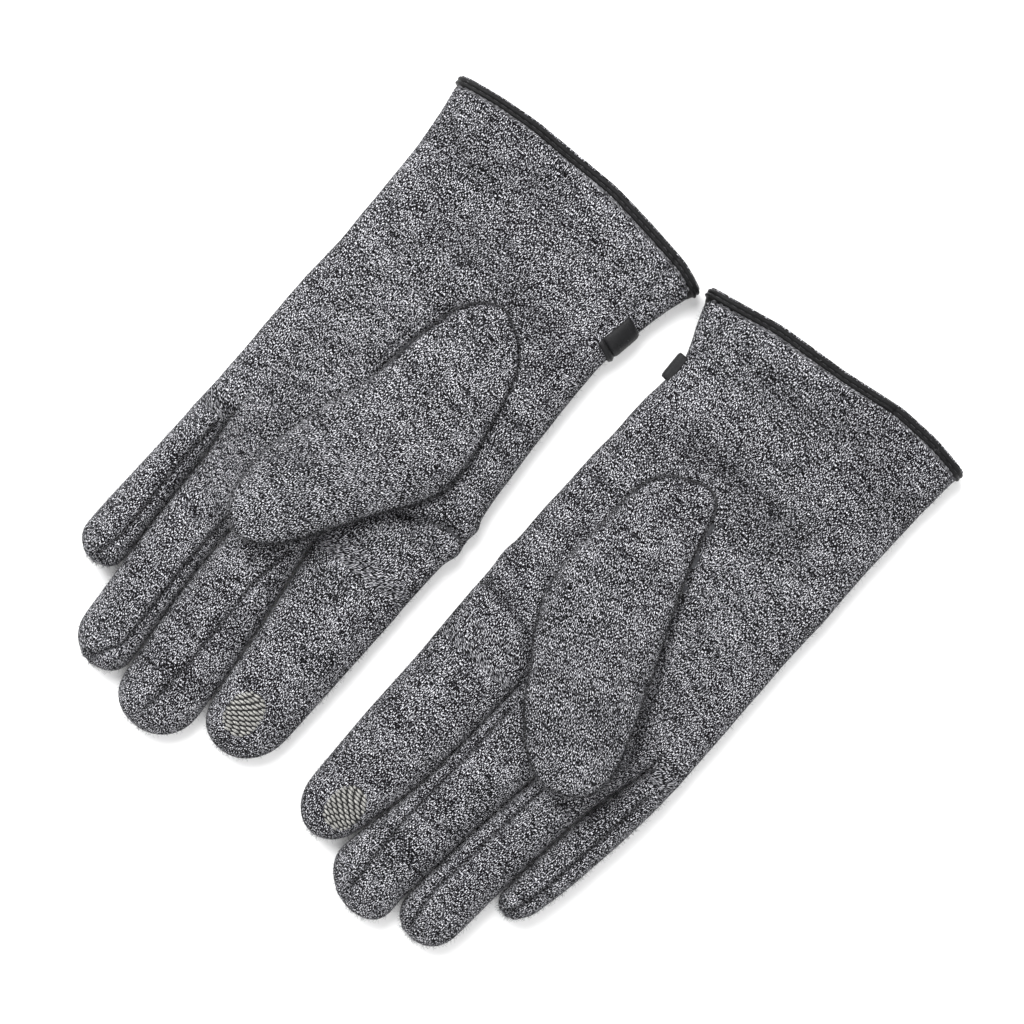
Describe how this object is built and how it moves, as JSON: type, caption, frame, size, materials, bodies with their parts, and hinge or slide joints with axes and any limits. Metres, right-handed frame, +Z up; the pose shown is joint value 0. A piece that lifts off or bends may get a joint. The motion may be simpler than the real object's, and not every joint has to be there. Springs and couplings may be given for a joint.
{
  "type": "touchscreen gloves",
  "caption": "Pair of knitted touchscreen gloves lying palms up, with leather-bound cuffs, a leather loop tab, lined stalls and conductive patches on the index fingertips.",
  "frame": {"origin": "centre of the pair's bounding box, on the surface that the gloves lie on", "axes": "+Z up, out of the palms; +Y from the cuffs toward the fingertips; the left hand's glove is at +X and its thumb is on its -X side"},
  "size_m": [0.2392, 0.266, 0.028],
  "materials": {
    "knit": "heather-grey stockinette",
    "lining": "brushed fleece",
    "binding_leather": "satin black synthetic leather",
    "tab_leather": "satin black synthetic leather",
    "conductive_yarn": "grey-green conductive yarn",
    "thread": "twisted sewing thread"
  },
  "bodies": {
    "left_glove": {"left_palm_panel": "knit", "left_back_panel": "knit", "left_hand_lining": "lining", "left_index_stall": "knit", "left_middle_stall": "knit", "left_ring_stall": "knit", "left_little_stall": "knit", "left_fourchette_1": "knit", "left_fourchette_2": "knit", "left_fourchette_3": "knit", "left_finger_linings": "lining", "left_thumb_gusset": "knit", "left_gusset_lining": "lining", "left_cuff_binding": "binding_leather", "left_binding_lap": "binding_leather", "left_binding_stitches": "thread", "left_loop_tab": "tab_leather"},
    "left_index_finger": {"left_index_tip": "knit", "left_index_tip_lining": "lining", "left_touch_pad": "conductive_yarn"},
    "left_middle_finger": {"left_middle_tip": "knit", "left_middle_tip_lining": "lining"},
    "left_ring_finger": {"left_ring_tip": "knit", "left_ring_tip_lining": "lining"},
    "left_little_finger": {"left_little_tip": "knit", "left_little_tip_lining": "lining"},
    "left_thumb_free": {"left_thumb": "knit", "left_thumb_lining": "lining"},
    "right_glove": {"right_palm_panel": "knit", "right_back_panel": "knit", "right_hand_lining": "lining", "right_index_stall": "knit", "right_middle_stall": "knit", "right_ring_stall": "knit", "right_little_stall": "knit", "right_fourchette_1": "knit", "right_fourchette_2": "knit", "right_fourchette_3": "knit", "right_finger_linings": "lining", "right_thumb_gusset": "knit", "right_gusset_lining": "lining", "right_cuff_binding": "binding_leather", "right_binding_lap": "binding_leather", "right_binding_stitches": "thread", "right_loop_tab": "tab_leather"},
    "right_index_finger": {"right_index_tip": "knit", "right_index_tip_lining": "lining", "right_touch_pad": "conductive_yarn"},
    "right_middle_finger": {"right_middle_tip": "knit", "right_middle_tip_lining": "lining"},
    "right_ring_finger": {"right_ring_tip": "knit", "right_ring_tip_lining": "lining"},
    "right_little_finger": {"right_little_tip": "knit", "right_little_tip_lining": "lining"},
    "right_thumb_free": {"right_thumb": "knit", "right_thumb_lining": "lining"}
  },
  "joints": [
    {"name": "left_index_bend", "type": "hinge", "parent": "left_glove", "child": "left_index_finger", "pos_m": [0.03122, 0.06815, 0.0145], "axis": [1, 0, 0], "range_deg": [0, 80]},
    {"name": "left_middle_bend", "type": "hinge", "parent": "left_glove", "child": "left_middle_finger", "pos_m": [0.06263, 0.06815, 0.0145], "axis": [1, 0, 0], "range_deg": [0, 80]},
    {"name": "left_ring_bend", "type": "hinge", "parent": "left_glove", "child": "left_ring_finger", "pos_m": [0.08913, 0.06815, 0.0145], "axis": [1, 0, 0], "range_deg": [0, 80]},
    {"name": "left_little_bend", "type": "hinge", "parent": "left_glove", "child": "left_little_finger", "pos_m": [0.1099, 0.05815, 0.0145], "axis": [1, 0, 0], "range_deg": [0, 80]},
    {"name": "left_thumb_lift", "type": "hinge", "parent": "left_glove", "child": "left_thumb_free", "pos_m": [0.06075, 0.01065, 0.028], "axis": [0.9285, -0.3714, 0], "range_deg": [0, 70]},
    {"name": "right_glove_slide", "type": "slide", "parent": "left_glove", "child": "right_glove", "axis": [-1, 0, 0], "range_m": [0, 0.12]},
    {"name": "right_index_bend", "type": "hinge", "parent": "right_glove", "child": "right_index_finger", "pos_m": [-0.01789, 0.06607, 0.0145], "axis": [0.9976, -0.0698, 0], "range_deg": [0, 80]},
    {"name": "right_middle_bend", "type": "hinge", "parent": "right_glove", "child": "right_middle_finger", "pos_m": [-0.04667, 0.06809, 0.0145], "axis": [0.9976, -0.0698, 0], "range_deg": [0, 80]},
    {"name": "right_ring_bend", "type": "hinge", "parent": "right_glove", "child": "right_ring_finger", "pos_m": [-0.07322, 0.06994, 0.0145], "axis": [0.9976, -0.0698, 0], "range_deg": [0, 80]},
    {"name": "right_little_bend", "type": "hinge", "parent": "right_glove", "child": "right_little_finger", "pos_m": [-0.09581, 0.0615, 0.0145], "axis": [0.9976, -0.0698, 0], "range_deg": [0, 80]},
    {"name": "right_thumb_lift", "type": "hinge", "parent": "right_glove", "child": "right_thumb_free", "pos_m": [-0.05718, 0.01118, 0.028], "axis": [0.9521, 0.3057, 0], "range_deg": [0, 70]}
  ]
}
